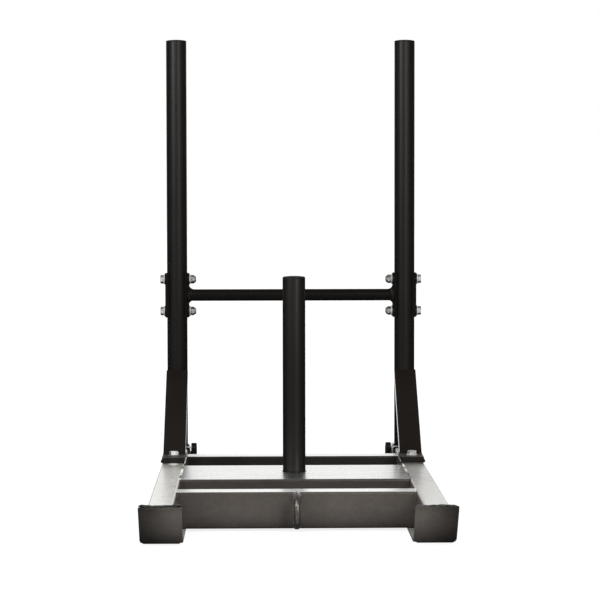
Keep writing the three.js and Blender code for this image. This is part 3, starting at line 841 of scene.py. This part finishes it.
# Nose plates to the rails' raked ends: heavy and scaled across the top, lighter down both sides
def nose_welds():
    half = (NOSE_HIGH.x - NOSE_LOW.x) / 2
    top_y = NOSE_LOW.y + NOSE_THICK * math.cos(NOSE_LEAN)
    reach, steps, behind_top, wave = 0.98, 10, 0.0030, 0.0008
    behind_side, below_top, above_sole = 0.0012, 0.006, 0.002
    above_top = {"right": -0.0004, "left": 0.0012}
    shares = [reach * (k / steps - 1) for k in range(2 * steps + 1)]
    for hand, sign in SIDES:
        height = RAIL_TOP + above_top[hand]
        bead(
            f"weld_nose_top_{hand}",
            [
                (sign * RAIL_X + share * half, top_y + behind_top, height + wave * math.sin(4 * share + sign))
                for share in shares
            ],
            radius=0.0031,
            seed=f"nosetop{hand}",
            material=NOSE_WELD,
            lump=0.6,
        )
        for edge, offset in (("outer", RAIL_HALF), ("inner", -RAIL_HALF)):
            x = sign * (RAIL_X + offset)
            bead(
                f"weld_nose_{edge}_{hand}",
                [
                    (x, top_y + behind_side + (RAIL_TOP - z) * math.tan(NOSE_LEAN), z)
                    for z in (RAIL_TOP - below_top, RAIL_LOW.z + above_sole)
                ],
                radius=0.0022,
                seed=f"nose{hand}{edge}",
            )


def base_welds():
    crossmember_welds()
    for hand, sign in SIDES:
        lip_welds(hand, sign)
        top_seams(hand, sign)
    tow_loop_welds()
    sole_welds()
    nose_welds()


# The tow loop as one smooth bent bar, a hair thinner than the CAD's
def tow_loop():
    radius, steps, sides = LOOP_R * 0.998, 48, 40
    top, bottom = LOOP_HIGH.z - LOOP_R, LOOP_LOW.z + LOOP_R
    bend = (top - bottom) / 2
    middle_y, middle_z = LOOP_LOW.y + LOOP_R + bend, (top + bottom) / 2
    points = [Vector((0, LOOP_HIGH.y, top))]
    for k in range(steps + 1):
        angle = math.pi * k / steps
        points.append(Vector((0, middle_y - bend * math.sin(angle), middle_z + bend * math.cos(angle))))
    points.append(Vector((0, LOOP_HIGH.y, bottom)))
    across = Vector((1, 0, 0))
    vertices = []
    for k, point in enumerate(points):
        along = (points[min(k + 1, len(points) - 1)] - points[max(k - 1, 0)]).normalized()
        vertices += circle(point, radius, across, along.cross(across), sides)
    faces = tube_faces(len(points), sides)
    item = piece("tow_loop_bent", vertices, faces, LOOP_STEEL, "base_steel", angle=60)
    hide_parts("tow_loop")


# The black frame's welds lie under its powder coat
COATED = {"material": COAT_WELD, "slot_name": "black_coat"}


# A lumpy fillet of weld where the crossbar meets the round clamp: long on top, short below
def crossbar_flare(hand, sign):
    around, deep, lump_count = 64, 6, 16
    short, longer, narrow, hollow = 0.0046, 0.0042, 1.5, 1.7
    uneven, ripple_height, ripples, twist = 0.16, 0.0004, 9, 4
    reach = abs(CLAMP_LOW.x - RAIL_X) + 0.0004
    inner_radius = CROSSBAR_R + 0.0003
    rng = random.Random(f"flare{hand}")
    lumps = [rng.uniform(-1.0, 1.0) for _ in range(lump_count)]
    vertices = []
    for j in range(deep + 1):
        t = j / deep
        for k in range(around):
            angle = 2 * math.pi * k / around
            leg = short + longer * max(0.0, math.sin(angle)) ** narrow
            spot = k / around * lump_count
            first, second = lumps[int(spot) % lump_count], lumps[(int(spot) + 1) % lump_count]
            leg *= 1.0 + uneven * (first + (second - first) * (spot % 1.0))
            along, rise = leg * (1 - t) ** hollow, leg * t**hollow
            ripple = ripple_height * math.sin(ripples * angle + twist * t) * math.sin(math.pi * t)
            radius = inner_radius + rise + ripple
            dy, dz = radius * math.cos(angle), radius * math.sin(angle)
            base = math.sqrt(max(0.0, reach**2 - dy**2))
            vertices.append((sign * (RAIL_X - base - along - ripple), UPRIGHT_Y + dy, CROSSBAR_Z + dz))
    faces = tube_faces(deep + 1, around, capped=False)
    piece(f"weld_crossbar_{hand}", vertices, faces, **COATED, angle=70)


def post_weld():
    above_deck = 0.0002
    post_radius = (POST_HIGH.x - POST_LOW.x) / 2
    foot = (0, (POST_LOW.y + POST_HIGH.y) / 2, RAIL_TOP + above_deck)
    points = ring(foot, post_radius, (0, 0, 1), count=60)
    bead("weld_post", points, radius=0.0014, seed="post", closed=True, **COATED)


def upright_weld(hand, x):
    above_shoe, off_tube = 0.0006, 0.0008
    foot = (x, UPRIGHT_Y, SHOE_HIGH.z + above_shoe)
    points = ring(foot, UPRIGHT_R + off_tube, (0, 0, 1), count=60)
    bead(f"weld_upright_{hand}", points, radius=0.0024, seed=f"up{hand}", closed=True, **COATED)


# Brace to foot plate: across the heel's front, and along both sides
def brace_foot_weld(hand, x, half):
    below_heel, behind_edge = 0.0001, 0.0002
    z = BRACE_LOW.z - below_heel
    front, back = BRACE_LOW.y + behind_edge, BRACE_LOW.y + BRACE_THICK / math.sin(BRACE_RISE)
    points = [(x - half, back, z), (x - half, front, z), (x + half, front, z), (x + half, back, z)]
    bead(f"weld_brace_foot_{hand}", points, radius=0.0013, seed=f"foot{hand}", **COATED)


# Foot plate to rail: lumpy, coated and thick on the outer side, bare in the rail's groove on the inner
def foot_plate_welds(hand, sign, x, half):
    off_plate, below_top, above_top = 0.0002, 0.0006, 0.0026
    inner_look = {"radius": 0.0018, "lump": 0.6, "material": SEAM_WELD, "slot_name": "base_steel"}
    outer_look = {"radius": 0.0030, "lump": 0.9, **COATED}
    length = FOOT_HIGH.y - FOOT_LOW.y
    for label, edge in (("a", -1), ("b", 1)):
        side_x = x + edge * (half + off_plate)
        inner = edge == -sign
        z = RAIL_TOP - below_top if inner else RAIL_TOP + above_top
        points = [(side_x, FOOT_LOW.y + share * length, z) for share in (0.01, 0.99)]
        look = inner_look if inner else outer_look
        bead(f"weld_foot_plate_{hand}_{label}", points, seed=f"plate{hand}{edge}", **look)


# Brace to upright: across the top where they touch, and down both sides of the contact
def brace_top_welds(hand, x):
    span, steps, off_side = 0.0135, 8, 0.001
    inset, below_top, end_below_top, end_above_under = 0.0002, 0.0006, 0.001, 0.002
    top = BRACE_HIGH.z
    under = top - BRACE_THICK / math.cos(BRACE_RISE)
    face_y = UPRIGHT_Y - UPRIGHT_R

    def middle_y(dx):
        return (face_y + UPRIGHT_Y - math.sqrt(UPRIGHT_R**2 - dx**2)) / 2

    places = [span * (k / steps - 1) for k in range(2 * steps + 1)]
    points = [(x + dx, middle_y(dx) - inset, top - below_top) for dx in places]
    bead(f"weld_brace_top_{hand}", points, radius=0.0021, seed=f"bracetop{hand}", **COATED)
    for label, edge in (("a", -1), ("b", 1)):
        side_x, side_y = x + edge * (span + off_side), middle_y(span) + inset
        points = [(side_x, side_y, z) for z in (top - end_below_top, under + end_above_under)]
        name, seed = f"weld_brace_side_{hand}_{label}", f"braceside{hand}{edge}"
        bead(name, points, radius=0.0022, seed=seed, **COATED)


def frame_welds():
    inside_edge = 0.0006
    half = (BRACE_HIGH.x - BRACE_LOW.x) / 2 - inside_edge
    post_weld()
    for hand, sign in SIDES:
        x = sign * RAIL_X
        upright_weld(hand, x)
        brace_foot_weld(hand, x, half)
        foot_plate_welds(hand, sign, x, half)
        brace_top_welds(hand, x)
        crossbar_flare(hand, sign)


tow_loop()
base_welds()
frame_welds()


# A fastener's surface is rows of radius, angle and height along Z
ROUND_STEPS = 48
ROUND_ANGLES = [2 * math.pi * k / ROUND_STEPS for k in range(ROUND_STEPS)]
ROWS_PER_TURN = 4


# A hexagon with its corners cut on top, and below too if so wanted
def hexagon_rows(height, chamfer_low):
    flat = HEX_ACROSS / 2
    inner = flat * 0.96
    slope = math.tan(math.radians(30))

    def radius(angle):
        turn = (angle + math.pi / 6) % (math.pi / 3) - math.pi / 6
        return flat / math.cos(turn)

    def cut(angle):
        return (radius(angle) - inner) * slope

    return [
        [(inner, a, 0.0) for a in ROUND_ANGLES],
        [(radius(a), a, cut(a) if chamfer_low else 0.0) for a in ROUND_ANGLES],
        [(radius(a), a, height - cut(a)) for a in ROUND_ANGLES],
        [(inner, a, height) for a in ROUND_ANGLES],
    ]


# A V thread that narrows in its last turn
def thread_rows(length):
    depth = PITCH * 0.54
    count = max(2, int(length / (PITCH / ROWS_PER_TURN)))
    rows = []
    for k in range(count + 1):
        z = length * k / count
        narrowing = (1 - min(1.0, (length - z) / PITCH)) * depth * 0.9
        row = []
        for angle in ROUND_ANGLES:
            wave = abs(((z / PITCH + angle / (2 * math.pi)) % 1.0) * 2 - 1)
            row.append((THREAD_R - depth * (1 - wave) - narrowing, angle, z))
        rows.append(row)
    return rows


def stitch(rows, closed=False):
    vertices = [Vector((r * math.sin(a), r * math.cos(a), z)) for row in rows for r, a, z in row]
    return vertices, tube_faces(len(rows), len(rows[0]), closed, capped=not closed)


# Vertices built along Z, turned to an axis along Z or X and moved to their place
def oriented(vertices, origin, along):
    z_axis = Vector(along)
    y_axis = Vector((0, 1, 0))
    x_axis = y_axis.cross(z_axis)
    turn = Matrix((x_axis, y_axis, z_axis)).transposed()
    return [Vector(origin) + turn @ v for v in vertices]


# A bolt: the head outwards from its seat, the threaded shank inwards with a chamfered end
def head_piece(name, node, origin, outward, length):
    chamfer, end_share = 0.0006, 0.8
    vertices, faces = stitch(hexagon_rows(HEAD_HEIGHT, chamfer_low=False))
    shank = thread_rows(length - chamfer)
    shank.insert(0, [(THREAD_R, a, 0.0) for a in ROUND_ANGLES])
    shank.append([(THREAD_R * end_share, a, length) for a in ROUND_ANGLES])
    shank_vertices, shank_faces = stitch(shank)
    offset = len(vertices)
    vertices += [Vector((v.x, v.y, -v.z)) for v in shank_vertices]
    faces += [tuple(i + offset for i in face) for face in shank_faces]
    item = piece(name, oriented(vertices, origin, outward), faces, finish_of(node), "zinc", angle=35)
    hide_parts(node)


# A lock nut: the hexagon ends in a narrower rounded collar
def nut_piece(name, node, origin, outward):
    hexagon_height = NUT_LENGTH * 0.72
    collar, bore = 0.0081, 0.0064
    rows = hexagon_rows(hexagon_height, chamfer_low=True)
    for radius, z in (
        (collar, hexagon_height + 0.0001),
        (collar, NUT_LENGTH - 0.0013),
        (collar - 0.0004, NUT_LENGTH - 0.0005),
        (collar - 0.0012, NUT_LENGTH),
        (bore, NUT_LENGTH),
        (bore, 0.0008),
        (bore + 0.0006, 0.0),
    ):
        rows.append([(radius, a, z) for a in ROUND_ANGLES])
    vertices, faces = stitch(rows, closed=True)
    item = piece(name, oriented(vertices, origin, outward), faces, NUT_ZINC, "zinc", angle=35)
    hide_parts(node)


def foot_bolt(hand):
    low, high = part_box(f"foot_bolt_{hand}")
    head_piece(
        f"foot_bolt_detailed_{hand}",
        f"foot_bolt_{hand}",
        ((low.x + high.x) / 2, (low.y + high.y) / 2, high.z - HEAD_HEIGHT),
        (0, 0, 1),
        high.z - HEAD_HEIGHT - low.z,
    )


def clamp_fasteners(hand, sign, level):
    low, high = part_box(f"clamp_bolt_{level}_{hand}")
    outer = high.x if sign > 0 else low.x
    y = (low.y + high.y) / 2
    z = (low.z + high.z) / 2
    head_piece(
        f"clamp_bolt_detailed_{level}_{hand}",
        f"clamp_bolt_{level}_{hand}",
        (outer - sign * HEAD_HEIGHT, y, z),
        (sign, 0, 0),
        high.x - low.x - HEAD_HEIGHT,
    )
    low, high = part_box(f"clamp_nut_{level}_{hand}")
    face = high.x if sign > 0 else low.x
    nut_piece(f"clamp_nut_detailed_{level}_{hand}", f"clamp_nut_{level}_{hand}", (face, y, z), (-sign, 0, 0))


def lock_stud(hand, sign):
    low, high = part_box(f"lock_stud_{hand}")
    vertices, faces = stitch(thread_rows(high.x - low.x))
    origin = (low.x if sign > 0 else high.x, (low.y + high.y) / 2, (low.z + high.z) / 2)
    stud = piece(
        f"lock_stud_threaded_{hand}",
        oriented(vertices, origin, (sign, 0, 0)),
        faces,
        STUD_ZINC,
        "zinc",
        body=f"lock_{hand}",
        angle=50,
    )
    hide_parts(f"lock_stud_{hand}")


for hand, sign in SIDES:
    foot_bolt(hand)
    for level in ("lower", "upper"):
        clamp_fasteners(hand, sign, level)
    lock_stud(hand, sign)


# Strength of the surroundings as light, and as surfaces mirror what is in front and the floor
AMBIENT = 0.90
REFLECTED = 0.07

# Parts of a direction along Y between which the mirrored surroundings grow bright
BEHIND = (0.25, 0.80)

# Strength of the floor's glow and its share in what the camera sees, then the floor's size and place
FLOOR_GLOW = 1.15
FLOOR_GLOW_SHARE = 0.72
FLOOR_HALF = 30.0
FLOOR_DROP = 0.0002

# Place and power of two tall narrow softboxes, left and right of the camera, near the object
SOFTBOXES = (
    ("softbox_left", Vector((-1.20, -0.95, 1.66)), 15.0),
    ("softbox_right", Vector((0.85, -1.55, 1.22)), 8.5),
)
SOFTBOX_WIDTH = 0.28
SOFTBOX_HEIGHT = 1.5
SOFTBOX_TARGET = Vector((0.0, 0.2, 0.9))


# White floor: the camera sees it glow and hold a soft shadow, and mirrored it is dim
def studio_floor():
    g = Graph("studio_floor")
    grain = g.noise(g.coordinates(), 3.0, detail=2.0, roughness=0.5)
    white = g.ramp(grain, [(0.0, tinted(0.93, WHITE)), (1.0, tinted(0.97, WHITE))])
    shade = g.add("ShaderNodeBsdfDiffuse", {"Color": white})
    glow = g.add("ShaderNodeEmission", {"Color": (*WHITE, 1.0), "Strength": FLOOR_GLOW})
    dim = g.add("ShaderNodeEmission", {"Color": (*WHITE, 1.0), "Strength": REFLECTED})
    path = g.add("ShaderNodeLightPath")
    seen = g.math("MAXIMUM", path.outputs["Is Camera Ray"], path.outputs["Is Transmission Ray"])
    mix = g.add("ShaderNodeMixShader", {0: g.math("MULTIPLY", seen, FLOOR_GLOW_SHARE), 1: shade, 2: glow})
    mix = g.add("ShaderNodeMixShader", {0: path.outputs["Is Glossy Ray"], 1: mix, 2: dim})
    g.tree.links.new(mix.outputs[0], g.output.inputs["Surface"])
    half = FLOOR_HALF
    corners = [(-half, -half, 0), (half, -half, 0), (half, half, 0), (-half, half, 0)]
    mesh = bpy.data.meshes.new("studio_floor")
    mesh.from_pydata(corners, [], [(0, 1, 2, 3)])
    mesh.materials.append(g.material)
    floor = bpy.data.objects.new("studio_floor", mesh)
    floor.location.z = -FLOOR_DROP
    scene.collection.objects.link(floor)


# White surroundings that light the object evenly; mirrored, they are dim in front and bright far behind
def studio_world():
    world = bpy.data.worlds.new("studio_world")
    scene.world = world
    world.use_nodes = True
    tree = world.node_tree
    tree.nodes.clear()
    path = tree.nodes.new("ShaderNodeLightPath")
    place = tree.nodes.new("ShaderNodeTexCoord")
    direction = tree.nodes.new("ShaderNodeSeparateXYZ")
    tree.links.new(place.outputs["Generated"], direction.inputs[0])
    behind = tree.nodes.new("ShaderNodeMapRange")
    start, end = BEHIND
    for key, value in (("From Min", start), ("From Max", end), ("To Min", REFLECTED), ("To Max", 1.0)):
        behind.inputs[key].default_value = value
    tree.links.new(direction.outputs["Y"], behind.inputs["Value"])

    def sky(strength):
        node = tree.nodes.new("ShaderNodeBackground")
        node.inputs["Color"].default_value = (*WHITE, 1.0)
        node.inputs["Strength"].default_value = strength
        return node

    def switched(ray, otherwise, then):
        node = tree.nodes.new("ShaderNodeMixShader")
        tree.links.new(path.outputs[ray], node.inputs[0])
        tree.links.new(otherwise.outputs[0], node.inputs[1])
        tree.links.new(then.outputs[0], node.inputs[2])
        return node

    mirrored = sky(1.0)
    tree.links.new(behind.outputs["Result"], mirrored.inputs["Strength"])
    mixed = switched("Is Glossy Ray", sky(AMBIENT), mirrored)
    mixed = switched("Is Transmission Ray", mixed, sky(1.0))
    mixed = switched("Is Camera Ray", mixed, sky(1.0))
    output = tree.nodes.new("ShaderNodeOutputWorld")
    tree.links.new(mixed.outputs[0], output.inputs["Surface"])


def softboxes():
    for name, place, power in SOFTBOXES:
        data = bpy.data.lights.new(name, "AREA")
        data.shape = "RECTANGLE"
        data.size = SOFTBOX_WIDTH
        data.size_y = SOFTBOX_HEIGHT
        data.energy = power
        lamp = bpy.data.objects.new(name, data)
        scene.collection.objects.link(lamp)
        lamp.location = place
        lamp.rotation_euler = (SOFTBOX_TARGET - place).to_track_quat("-Z", "Y").to_euler()


studio_floor()
studio_world()
softboxes()

scene.view_settings.view_transform = "Standard"
